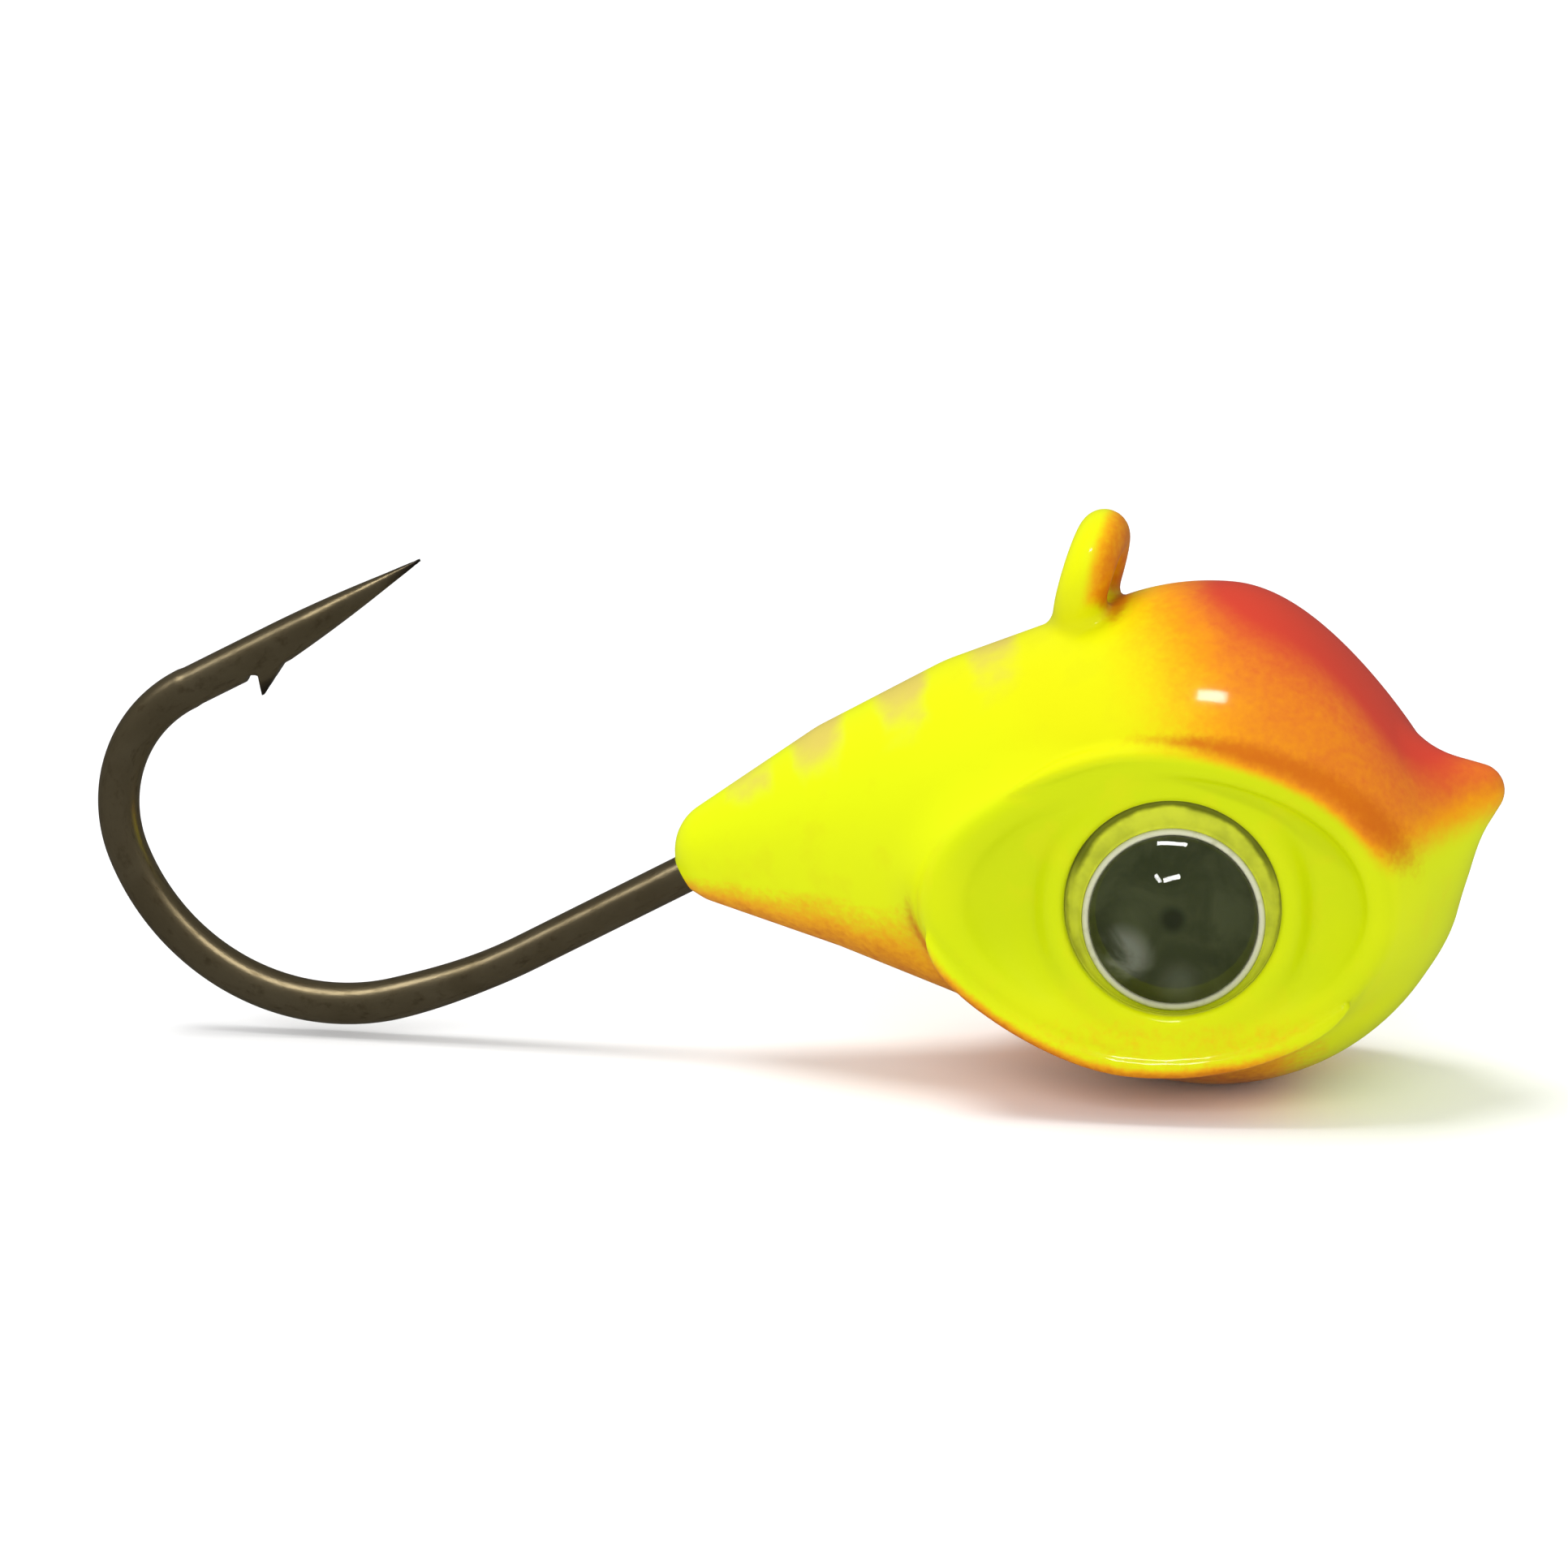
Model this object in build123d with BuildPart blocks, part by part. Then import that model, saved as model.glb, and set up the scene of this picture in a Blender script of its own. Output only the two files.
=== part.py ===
"""Ice-fishing jig head: tungsten bird-head casting, one-piece jig hook, two glued-in domed eyes.

Frame: +X towards the nose, +Y to the jig's left, +Z up as it hangs from the line.
The origin is the centre of the hole in the line-tie ring.  Millimetres.
"""
from math import cos, radians, sin, tan
import os

from build123d import *

os.makedirs("parts", exist_ok=True)

# ---- hook wire -------------------------------------------------------------
wire_radius = 0.55 / 2
ring_radius = 0.62
ring_lean = 15
eye_bend_radius = 0.8
shank_slope = 28.5
shank_exit = (-6.03, -4.64)
shank_straight = 2.42
shank_curve = (9.5, 13.1)
heel_curve = (3.36, 83.5)
throat_curve = (1.95, 84.3)
point_arm = 1.75
point_taper = 2.4
point_lift = 0.16
tip_radius = 0.02
barb_from_throat = 1.2
barb_length = 0.65
barb_drop = 0.335
barb_rake = 0.22
barb_root_depth = 0.1
barb_thickness = 0.22

# ---- casting ---------------------------------------------------------------
ball_radius = 3.575
ball_center = (1.75, -3.6)
axis_rise = 4.75
tail_half_angle = 23.65
tail_round = 0.77
flatness = 0.76
beak_base = (4.32, -3.32)
beak_tip = (5.465, -2.82)
beak_base_radius = 1.15
beak_tip_radius = 0.38
slot_half_width = 0.4
slot_under_shank = 0.36
slot_before_neck = 0.36

# ---- eye sockets -----------------------------------------------------------
socket_center = (1.36, 2.66, -4.2)
socket_toe_in = 4
socket_upturn = 4
rim_half_length = 3.06
rim_half_height = 2.02
rim_bead_radius = 0.16
rim_land = 0.07
socket_depth = 2.1
socket_flare = 0.55
dish_depth = 0.42
pocket_offset = (0.2, 0.04)
pocket_radius = 1.5
pocket_depth = 1.0

# ---- glued eyes ------------------------------------------------------------
backing_radius = 1.27
dome_radius = 1.17
eye_drop = 0.2
bed_thickness = 0.1
collar_height = 0.3
backing_thickness = 0.16
foil_thickness = 0.05
dome_wall = 0.07
dome_rise = 0.355


def export(piece, label):
    piece.part.label = label
    export_step(piece.part, "parts/" + label + ".step")


def socket_plane(side):
    """Plane of the socket rim, facing outwards; side is -1 for right and +1 for left."""
    toe = radians(socket_toe_in)
    upturn = radians(socket_upturn)
    outward = (sin(toe) * cos(upturn), side * cos(toe) * cos(upturn), sin(upturn))
    along_rim = (cos(toe), -side * sin(toe), 0)
    center = (socket_center[0], side * socket_center[1], socket_center[2])
    return Plane(origin=center, x_dir=along_rim, z_dir=outward)


def pocket_plane(side, height, drop=0.0):
    """Plane across the eye pocket at a height above its floor, moved down by drop."""
    rim = socket_plane(side)
    up_rim = -side * (pocket_offset[1] - drop)
    center = rim.from_local_coords((pocket_offset[0], up_rim, height - pocket_depth))
    return Plane(origin=center, x_dir=rim.x_dir, z_dir=rim.z_dir)


# The ring leans towards the nose; the neck below it runs down and back into the shank.
lean = radians(ring_lean)
rise = radians(shank_slope)
neck_turn = 90 - ring_lean - shank_slope
neck_up = Vector(sin(lean), 0, cos(lean))
shank_back = Vector(-cos(rise), 0, -sin(rise))
exit_point = Vector(shank_exit[0], 0, shank_exit[1])
corner = neck_up * (exit_point.cross(shank_back).Y / neck_up.cross(shank_back).Y)
corner_cut = eye_bend_radius * tan(radians(neck_turn) / 2)
ring_axis = (cos(lean), 0, -sin(lean))

# ---- hook ------------------------------------------------------------------
with BuildPart() as hook:
    with BuildLine(Plane.XZ) as bent_wire:
        neck = Line(neck_up * -ring_radius, corner + neck_up * corner_cut)
        eye_bend = JernArc(neck @ 1, -neck_up, eye_bend_radius, -neck_turn)
        shank = Line(corner + shank_back * corner_cut, exit_point + shank_back * shank_straight)
        heel = JernArc(shank @ 1, shank_back, shank_curve[0], -shank_curve[1])
        bend = JernArc(heel @ 1, heel % 1, heel_curve[0], -heel_curve[1])
        throat = JernArc(bend @ 1, bend % 1, throat_curve[0], -throat_curve[1])
        arm = Line(throat @ 1, throat @ 1 + (throat % 1) * point_arm)
    with BuildSketch(Plane(origin=neck @ 0, z_dir=neck % 0)):
        Circle(wire_radius)
    sweep(path=bent_wire.line)
    with Locations(Plane(origin=(0, 0, 0), z_dir=ring_axis)):
        Torus(ring_radius, wire_radius)

    # Needle point: the upper edge runs on straight, the underside is ground up to it.
    forward = arm % 1
    arm_up = Vector(-forward.Z, 0, forward.X)
    point_end = arm @ 1 + forward * point_taper + arm_up * point_lift
    with BuildSketch(Plane(origin=arm @ 1, z_dir=forward)):
        Circle(wire_radius)
    with BuildSketch(Plane(origin=point_end, z_dir=forward)):
        Circle(tip_radius)
    loft()

    # Barb: a sliver cut on the inside of the point and raised towards the bend.
    barb_root = throat @ 1 + forward * barb_from_throat - arm_up * barb_root_depth
    barb_front = barb_root + forward * barb_length
    barb_fall = wire_radius + barb_drop - barb_root_depth
    barb_point = barb_root - arm_up * barb_fall - forward * barb_rake
    with BuildSketch(Plane.XZ):
        with BuildLine():
            Polyline(
                (barb_root.X, barb_root.Z),
                (barb_front.X, barb_front.Z),
                (barb_point.X, barb_point.Z),
                close=True,
            )
        make_face()
    extrude(amount=barb_thickness / 2, both=True)
export(hook, "hook")

# ---- head, before the slot and the eye pockets are cut -----------------------
half_angle = radians(tail_half_angle)
tail_to_ball = (ball_radius - tail_round) / sin(half_angle)
tilt = radians(axis_rise)
head_axis = (cos(tilt), 0, sin(tilt))
ball = Vector(ball_center[0], 0, ball_center[1])
head_plane = Plane(origin=ball, x_dir=head_axis, z_dir=(0, -1, 0))

with BuildPart() as head_shape:
    with BuildSketch(head_plane):
        with BuildLine():
            front = CenterArc((0, 0), ball_radius, 0, 90 + tail_half_angle)
            end = CenterArc(
                (-tail_to_ball, 0), tail_round, 90 + tail_half_angle, 90 - tail_half_angle
            )
            Line(front @ 1, end @ 0)
            Line(end @ 1, front @ 0)
        make_face()
    revolve(axis=Axis(ball, head_axis))
    scale(by=(1, flatness, 1))

    # Beak, a blunt cone running out of the forehead.
    base = Vector(beak_base[0], 0, beak_base[1])
    tip = Vector(beak_tip[0], 0, beak_tip[1])
    with BuildSketch(Plane(origin=base, z_dir=tip - base)):
        Circle(beak_base_radius)
    with BuildSketch(Plane(origin=tip, z_dir=tip - base)):
        Circle(beak_tip_radius)
    loft()
    with Locations(tip):
        Sphere(beak_tip_radius)

    # Eyelid ovals: a flared mound, dished towards the eye, with a rounded bead for a rim.
    dish = scale(
        Sphere(1, mode=Mode.PRIVATE),
        by=(rim_half_length - rim_land, rim_half_height - rim_land, dish_depth),
        mode=Mode.PRIVATE,
    )
    for side in (-1, 1):
        rim = socket_plane(side)
        with BuildSketch(rim):
            Ellipse(rim_half_length, rim_half_height)
        with BuildSketch(rim.offset(-socket_depth)):
            Ellipse(rim_half_length + socket_flare, rim_half_height + socket_flare)
        loft()
        add(rim.location * dish, mode=Mode.SUBTRACT)
        with BuildLine(rim):
            bead_line = EllipticalCenterArc(
                (0, 0), rim_half_length, rim_half_height, arc_size=360
            )
        with BuildSketch(Plane(origin=bead_line @ 0, z_dir=bead_line % 0)):
            Circle(rim_bead_radius)
        sweep(path=bead_line)

# ---- slot for the hook -------------------------------------------------------
down_slope = Vector(-shank_back.Z, 0, shank_back.X)
slot_floor = exit_point + down_slope * slot_under_shank
neck_front = Vector(neck_up.Z, 0, -neck_up.X) * slot_before_neck
with BuildPart() as slot:
    with BuildSketch(Plane.XZ):
        with BuildLine():
            Polyline(
                slot_floor + shank_back * 2,
                corner + down_slope * slot_under_shank + neck_front,
                neck_up * 2 + neck_front,
                neck_up * 2 + shank_back * 8,
                close=True,
            )
        make_face()
    extrude(amount=slot_half_width, both=True)

with BuildPart() as head_casting:
    add(head_shape.part)
    add(slot.part, mode=Mode.SUBTRACT)
    add(hook.part, mode=Mode.SUBTRACT)
    for side in (-1, 1):
        with BuildSketch(pocket_plane(side, 0)):
            Circle(pocket_radius)
        extrude(amount=pocket_depth + 1, mode=Mode.SUBTRACT)
export(head_casting, "head_casting")

with BuildPart() as slot_solder:
    add(head_shape.part)
    add(slot.part, mode=Mode.INTERSECT)
    add(hook.part, mode=Mode.SUBTRACT)
export(slot_solder, "slot_solder")

# ---- eyes --------------------------------------------------------------------
foil_base = bed_thickness + backing_thickness
dome_base = foil_base + foil_thickness
for side, name in ((-1, "right"), (1, "left")):
    # Clear glue: a bed under the eye and a collar round it.
    with BuildPart() as eye_glue:
        with BuildSketch(pocket_plane(side, 0)):
            Circle(pocket_radius)
        extrude(amount=bed_thickness + collar_height)
        with BuildSketch(pocket_plane(side, bed_thickness, eye_drop)):
            Circle(backing_radius)
        extrude(amount=backing_thickness, mode=Mode.SUBTRACT)
        with BuildSketch(pocket_plane(side, foil_base, eye_drop)):
            Circle(dome_radius)
        extrude(amount=1, mode=Mode.SUBTRACT)
    export(eye_glue, name + "_eye_glue")

    # White vinyl disc that shows as the pale ring round the eye.
    with BuildPart() as eye_backing:
        with BuildSketch(pocket_plane(side, bed_thickness, eye_drop)):
            Circle(backing_radius)
        extrude(amount=backing_thickness)
    export(eye_backing, name + "_eye_backing")

    # Smoke-grey printed film on the disc.
    with BuildPart() as eye_foil:
        with BuildSketch(pocket_plane(side, foil_base, eye_drop)):
            Circle(dome_radius)
        extrude(amount=foil_thickness)
    export(eye_foil, name + "_eye_foil")

    # Clear resin dome poured over the film, up to its edge.
    dome_sphere = (dome_radius**2 + dome_rise**2) / (2 * dome_rise)
    with BuildPart() as eye_dome:
        with BuildSketch(pocket_plane(side, dome_base, eye_drop)):
            Circle(dome_radius)
        extrude(amount=dome_wall + dome_rise)
        with Locations(pocket_plane(side, dome_base + dome_wall + dome_rise - dome_sphere, eye_drop)):
            Sphere(dome_sphere, mode=Mode.INTERSECT)
    export(eye_dome, name + "_eye_dome")
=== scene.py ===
"""Looks for the ice-fishing jig head: painted casting, bronzed hook and glued-in domed eyes.

Lengths in the shape code are millimetres in the part's own frame; meshes are scaled to metres.
"""

import math

import bpy
import numpy as np
from mathutils import Matrix, Vector


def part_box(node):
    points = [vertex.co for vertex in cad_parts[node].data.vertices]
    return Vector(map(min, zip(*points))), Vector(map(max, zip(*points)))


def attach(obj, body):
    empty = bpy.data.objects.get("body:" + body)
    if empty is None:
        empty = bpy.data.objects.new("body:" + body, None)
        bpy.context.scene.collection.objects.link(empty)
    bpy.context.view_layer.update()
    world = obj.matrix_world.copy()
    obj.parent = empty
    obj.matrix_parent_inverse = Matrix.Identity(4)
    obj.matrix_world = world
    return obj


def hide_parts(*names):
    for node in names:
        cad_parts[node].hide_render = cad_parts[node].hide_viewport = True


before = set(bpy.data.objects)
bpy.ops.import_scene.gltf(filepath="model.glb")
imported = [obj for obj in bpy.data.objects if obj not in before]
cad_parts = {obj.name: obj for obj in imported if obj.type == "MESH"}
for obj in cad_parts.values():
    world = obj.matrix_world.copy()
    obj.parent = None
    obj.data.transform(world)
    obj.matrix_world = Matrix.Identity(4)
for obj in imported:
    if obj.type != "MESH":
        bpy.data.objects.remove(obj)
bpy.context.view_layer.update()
MM = 0.001

# ---------------------------------------------------------------- dimensions
SIDES = {-1: "right", 1: "left"}

# line tie and hook wire; a curve is its radius and its turn in degrees
WIRE = 0.275
RING_RADIUS = 0.62
RING_LEAN = math.radians(15)
RING_AXIS = np.array([math.cos(RING_LEAN), 0.0, -math.sin(RING_LEAN)])
RING_UP = np.array([math.sin(RING_LEAN), 0.0, math.cos(RING_LEAN)])
NECK_BEND_RADIUS = 0.8
SHANK_SLOPE = math.radians(28.5)
SHANK_BACK = np.array([-math.cos(SHANK_SLOPE), 0.0, -math.sin(SHANK_SLOPE)])
SHANK_EXIT = np.array([-6.03, 0.0, -4.64])
SHANK_STRAIGHT = 2.42
HEEL_CURVE = (9.493, 13.094)
BEND_CURVE = (3.357, 83.479)
THROAT_CURVE = (1.956, 84.335)
ARM_LENGTH = 4.085

# needle point, barb and the nick behind it; places are (along, across) the straight arm of the point
POINT_TAPER = 2.45
POINT_LIFT = 0.16
POINT_HALF_WIDTH = 0.253
TIP_FROM = 3.3
BARB = ((1.2, -0.1), (0.98, -0.61), (1.85, -0.1))
NICK, NICK_RADIUS = (1.0, -0.32), 0.09

# casting; the balls run from the tail to the nose as (x, z, radius)
FLATNESS = 0.76
BODY_BALLS = ((-5.22, -4.18, 0.77), (-3.0, -3.8, 1.75), (-1.0, -3.62, 2.57), (1.75, -3.6, 3.575))
BEAK_BASE, BEAK_BASE_RADIUS = (4.32, 0, -3.32), 1.12
BEAK_TIP, BEAK_TIP_RADIUS = (5.465, 0, -2.82), 0.38
BEAK_FLATNESS = 0.92
FOREHEAD_SLOPE, FOREHEAD_REACH = (0.768, 0.64), 2.16
PAINTED_WIRE = 0.35

# eyelid oval with its dish, and the eye pocket
SOCKET_TURN = math.radians(4)
SOCKET_UPTURN = math.radians(4)
OVAL_HALF_LENGTH, OVAL_HALF_HEIGHT = 3.22, 2.18
OVAL_DEPTH = 2.6
RIM_BEAD = 0.16
DISH_HALF_LENGTH, DISH_HALF_HEIGHT = 2.8, 1.87
POCKET_RADIUS = 1.5
POCKET_DEPTH = 1.0
POCKET_OFFSET = (0.2, 0.04)

# glued eye: heights are above the pocket's floor; GAP parts the pieces, and sinks the dome into the film
EYE_DROP = 0.2
BED, BACKING, FILM = 0.1, 0.16, 0.05
FILM_BASE = BED + BACKING
DOME_BASE = FILM_BASE + FILM
DOME_WALL, DOME_RISE = 0.07, 0.355
BACKING_RADIUS, FILM_RADIUS, DOME_RADIUS = 1.27, 1.165, 1.17
BACKING_LIP = 0.1
GAP = 0.004


def socket_axes(side):
    """Along, up and outward directions of a socket; side -1 is the right, +1 the left."""
    out = np.array([
        math.sin(SOCKET_TURN) * math.cos(SOCKET_UPTURN),
        side * math.cos(SOCKET_TURN) * math.cos(SOCKET_UPTURN),
        math.sin(SOCKET_UPTURN),
    ])
    along = np.array([math.cos(SOCKET_TURN), -side * math.sin(SOCKET_TURN), 0.0])
    return along, side * np.cross(along, out), out


def film_center(side):
    low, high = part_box(SIDES[side] + "_eye_foil")
    return (np.array(low) + np.array(high)) / 2 / MM


def rim_center():
    """Centre of the left socket's rim plane, worked back from the CAD eye film."""
    along, up, out = socket_axes(1)
    above_rim = FILM_BASE + FILM / 2 - POCKET_DEPTH
    center = film_center(1) - along * POCKET_OFFSET[0] - up * (POCKET_OFFSET[1] - EYE_DROP)
    return center - out * above_rim


SOCKET_ORIGIN = rim_center()


# ---------------------------------------------------------------- distance fields
def smin(a, b, k):
    """The lesser of two distances, blended over a width of about k."""
    h = np.clip(0.5 + 0.5 * (b - a) / k, 0.0, 1.0)
    return b + (a - b) * h - k * h * (1.0 - h)


def smax(a, b, k):
    return -smin(-a, -b, k)


def smoothstep(value, low, high):
    t = np.clip((value - low) / (high - low), 0.0, 1.0)
    return t * t * (3 - 2 * t)


def round_cone(x, y, z, a, ra, b, rb):
    """Distance to the hull of two spheres."""
    ba = np.array(b, float) - np.array(a, float)
    l2 = float(ba @ ba)
    rr = ra - rb
    a2 = l2 - rr * rr
    px, py, pz = x - a[0], y - a[1], z - a[2]
    along = px * ba[0] + py * ba[1] + pz * ba[2]
    beyond = along - l2
    cx, cy, cz = px * l2 - ba[0] * along, py * l2 - ba[1] * along, pz * l2 - ba[2] * along
    x2 = cx * cx + cy * cy + cz * cz
    y2 = along * along * l2
    z2 = beyond * beyond * l2
    k = math.copysign(1.0, rr) * rr * rr * x2
    side = (np.sqrt(x2 * a2 / l2) + along * rr) / l2 - ra
    at_b = np.sqrt(x2 + z2) / l2 - rb
    at_a = np.sqrt(x2 + y2) / l2 - ra
    near_a = np.where(np.sign(along) * a2 * y2 < k, at_a, side)
    return np.where(np.sign(beyond) * a2 * z2 > k, at_b, near_a)


def capsule(x, y, z, a, b, r):
    """Distance to a round-ended rod."""
    ba = np.array(b, float) - np.array(a, float)
    px, py, pz = x - a[0], y - a[1], z - a[2]
    t = np.clip((px * ba[0] + py * ba[1] + pz * ba[2]) / float(ba @ ba), 0.0, 1.0)
    dx, dy, dz = px - ba[0] * t, py - ba[1] * t, pz - ba[2] * t
    return np.sqrt(dx * dx + dy * dy + dz * dz) - r


def ring_distance(x, y, z):
    """Distance to the circle in the middle of the line tie's wire."""
    along = x * RING_AXIS[0] + z * RING_AXIS[2]
    across = np.sqrt(np.maximum(x * x + y * y + z * z - along * along, 0.0))
    return np.sqrt((across - RING_RADIUS) ** 2 + along * along)


def socket_coords(x, y, z):
    """Coordinates along, up and out of the nearer socket's rim plane."""
    px, py, pz = x - SOCKET_ORIGIN[0], np.abs(y) - SOCKET_ORIGIN[1], z - SOCKET_ORIGIN[2]
    return [px * d[0] + py * d[1] + pz * d[2] for d in socket_axes(1)]


def almond(u, v):
    """Stretches the oval's rear end to a blunt point."""
    rear = smoothstep(-u, 0.4, 3.2)
    return u / (1 + 0.03 * rear), v / (1 - 0.11 * rear)


def rim_crown(u, v):
    """Height of the oval's rim over its plane; it falls back towards the ends."""
    return -0.04 * u * u - 0.03 * v * v


def eyelid_oval(u, v):
    """Roughly the distance to the eyelid's oval, and the share of its size at which a point lies."""
    a, b = OVAL_HALF_LENGTH, OVAL_HALF_HEIGHT
    rho = np.sqrt((u / a) ** 2 + (v / b) ** 2) + 1e-6
    grad = np.sqrt((u / a**2) ** 2 + (v / b**2) ** 2) / rho + 1e-6
    return (rho - 1.0) / np.maximum(grad, 0.2), rho


def teardrop(x, y, z):
    """Body of the casting, with its forehead flattened."""
    body = None
    for (ax, az, ra), (bx, bz, rb) in zip(BODY_BALLS, BODY_BALLS[1:]):
        part = round_cone(x, y / FLATNESS, z, (ax, 0, az), ra, (bx, 0, bz), rb)
        body = part if body is None else np.minimum(body, part)
    forehead = FOREHEAD_SLOPE[0] * x + FOREHEAD_SLOPE[1] * z - FOREHEAD_REACH
    return smax(body * 0.88, forehead, 0.7)


def add_eyelid(f, u, v, w):
    """Field f with the raised oval and the bead round its rim."""
    out = w - rim_crown(u, v)
    edge, _ = eyelid_oval(*almond(u, v))
    mound = smax((edge + 0.22 * out) / 1.02, out, 0.26)
    mound = smax(mound, -w - OVAL_DEPTH, 0.1)
    # the rim runs out into the cheek, and stands clearest along the belly
    soft = 0.13 + 0.55 * smoothstep(u, 1.3, 3.0) * smoothstep(v, -1.6, -0.2)
    soft = soft + 0.4 * smoothstep(-u, 0.4, 2.4) * smoothstep(v, -1.2, 0.4)
    f = smin(f, mound, soft)
    bead = np.sqrt(edge * edge + (out + 0.1) ** 2) - RIM_BEAD
    bead = bead + 0.3 * smoothstep(u, 1.6, 3.0) * smoothstep(v, -1.8, -0.4)
    bead = bead + 0.3 * smoothstep(-u, 1.3, 2.8) * smoothstep(v, -1.1, 0.3)
    return smin(f, bead, 0.14)


def cut_socket(f, u, v, w):
    """Field f with the dish, deepest before and behind the eye, and the pocket with its low collar."""
    ua, va = almond(u, v)
    deep = 0.46 + 0.34 * smoothstep(np.abs(u - 0.1), 1.0, 2.6)
    du, dv = (ua - 0.1) / DISH_HALF_LENGTH, (va - 0.02) / DISH_HALF_HEIGHT
    dish = (np.sqrt(du**2 + dv**2 + ((w - rim_crown(u, v)) / deep) ** 2) - 1.0) * 0.42
    f = smax(f, -dish, 0.22)
    pu, pv = u - POCKET_OFFSET[0], v - POCKET_OFFSET[1]
    reach = np.sqrt(pu * pu + pv * pv)
    collar = np.sqrt((reach - (POCKET_RADIUS + 0.1)) ** 2 + (w + 0.52) ** 2) - 0.12
    f = smin(f, collar, 0.34)
    pocket = smax(reach - POCKET_RADIUS, -w - POCKET_DEPTH, 0.05)
    return smax(f, -pocket, 0.07)


def head_field(x, y, z):
    """Painted casting."""
    beak = round_cone(x, y / BEAK_FLATNESS, z, BEAK_BASE, BEAK_BASE_RADIUS, BEAK_TIP, BEAK_TIP_RADIUS)
    f = smin(teardrop(x, y, z), beak * 0.95, 0.38)
    u, v, w = socket_coords(x, y, z)
    f = cut_socket(add_eyelid(f, u, v, w), u, v, w)

    # painted ring, and the paint drawn up round the shank where it leaves the tail
    f = smin(f, ring_distance(x, y, z) - PAINTED_WIRE, 0.24)
    lip = capsule(x, y, z, SHANK_EXIT - SHANK_BACK * 0.42, SHANK_EXIT - SHANK_BACK * 1.4, 0.3)
    return smin(f, lip, 0.1)


# ---------------------------------------------------------------- meshing
CELL_CORNERS = [(i, j, k) for i in (0, 1) for j in (0, 1) for k in (0, 1)]


def sample(field, axes, chunk):
    """Field values on a grid, a few layers at a time to save memory."""
    xs, ys, zs = axes
    grid = np.empty([len(values) for values in axes], np.float32)
    for i in range(0, len(xs), chunk):
        grid[i:i + chunk] = field(xs[i:i + chunk, None, None], ys[None, :, None], zs[None, None, :])
    return grid


def crossed_cells(inside):
    """Cells of the grid that the surface passes through."""
    nx, ny, nz = inside.shape
    total = sum(
        inside[i:nx - 1 + i, j:ny - 1 + j, k:nz - 1 + k].astype(np.int8) for i, j, k in CELL_CORNERS
    )
    return (total > 0) & (total < 8)


def cell_points(grid, cells):
    """For each cell, the middle of the places where its edges cross the surface, in cell widths."""
    position = np.zeros((len(cells), 3))
    crossings = np.zeros(len(cells))
    values = {c: grid[tuple((cells + c).T)].astype(float) for c in CELL_CORNERS}
    for a in CELL_CORNERS:
        for axis in range(3):
            if a[axis]:
                continue
            b = tuple(1 if i == axis else a[i] for i in range(3))
            fa, fb = values[a], values[b]
            cross = (fa < 0) != (fb < 0)
            t = np.where(cross, fa / np.where(cross, fa - fb, 1.0), 0.0)
            point = np.array(a, float) + t[:, None] * (np.array(b, float) - np.array(a, float))
            position += point * cross[:, None]
            crossings += cross
    return cells + position / crossings[:, None]


def surface_quads(inside, index):
    """A quad of cell numbers round each grid edge that the surface crosses, facing outwards."""
    counts = inside.shape
    faces = []
    for axis in range(3):
        o1, o2 = [(1, 2), (2, 0), (0, 1)][axis]
        lo = [slice(None)] * 3
        hi = [slice(None)] * 3
        lo[axis], hi[axis] = slice(0, -1), slice(1, None)
        edges = np.argwhere(inside[tuple(lo)] != inside[tuple(hi)])
        ok = (edges[:, o1] > 0) & (edges[:, o2] > 0)
        ok &= (edges[:, o1] < counts[o1] - 1) & (edges[:, o2] < counts[o2] - 1)
        edges = edges[ok]
        corners = []
        for d1, d2 in ((1, 1), (0, 1), (0, 0), (1, 0)):
            cell = edges.copy()
            cell[:, o1] -= d1
            cell[:, o2] -= d2
            corners.append(index[tuple(cell.T)])
        quads = np.stack(corners, axis=1)
        starts_inside = inside[tuple(edges.T)]
        quads[~starts_inside] = quads[~starts_inside][:, ::-1]
        faces.append(quads)
    return np.concatenate(faces)


def pull_to_surface(field, verts, step):
    """Moves each vertex along the field's slope until it lies on the surface."""
    for _ in range(4):
        value, grad = value_and_gradient(field, verts)
        move = value[:, None] * grad / np.maximum((grad * grad).sum(1), 0.05)[:, None]
        size = np.linalg.norm(move, axis=1)
        move *= np.minimum(1.0, 0.5 * step / np.maximum(size, 1e-9))[:, None]
        verts = verts - move
    return verts


def surface_nets(field, low, high, step, chunk=24):
    """Quad mesh of the field's zero surface between two corners of a box."""
    axes = [a + step * np.arange(math.ceil((b - a) / step) + 1) for a, b in zip(low, high)]
    grid = sample(field, axes, chunk)
    inside = grid < 0
    active = crossed_cells(inside)
    cells = np.argwhere(active)
    index = np.full(active.shape, -1, np.int64)
    index[active] = np.arange(len(cells))
    verts = cell_points(grid, cells) * step + np.array(low)
    return pull_to_surface(field, verts, step), surface_quads(inside, index)


def value_and_gradient(field, p, e=0.004):
    """The field and its slope at the points p, from differences over 2 e."""
    x, y, z = p[:, 0], p[:, 1], p[:, 2]
    value = field(x, y, z)
    grad = np.stack([
        (field(x + e, y, z) - field(x - e, y, z)) / (2 * e),
        (field(x, y + e, z) - field(x, y - e, z)) / (2 * e),
        (field(x, y, z + e) - field(x, y, z - e)) / (2 * e),
    ], axis=1)
    return value, grad


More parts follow.
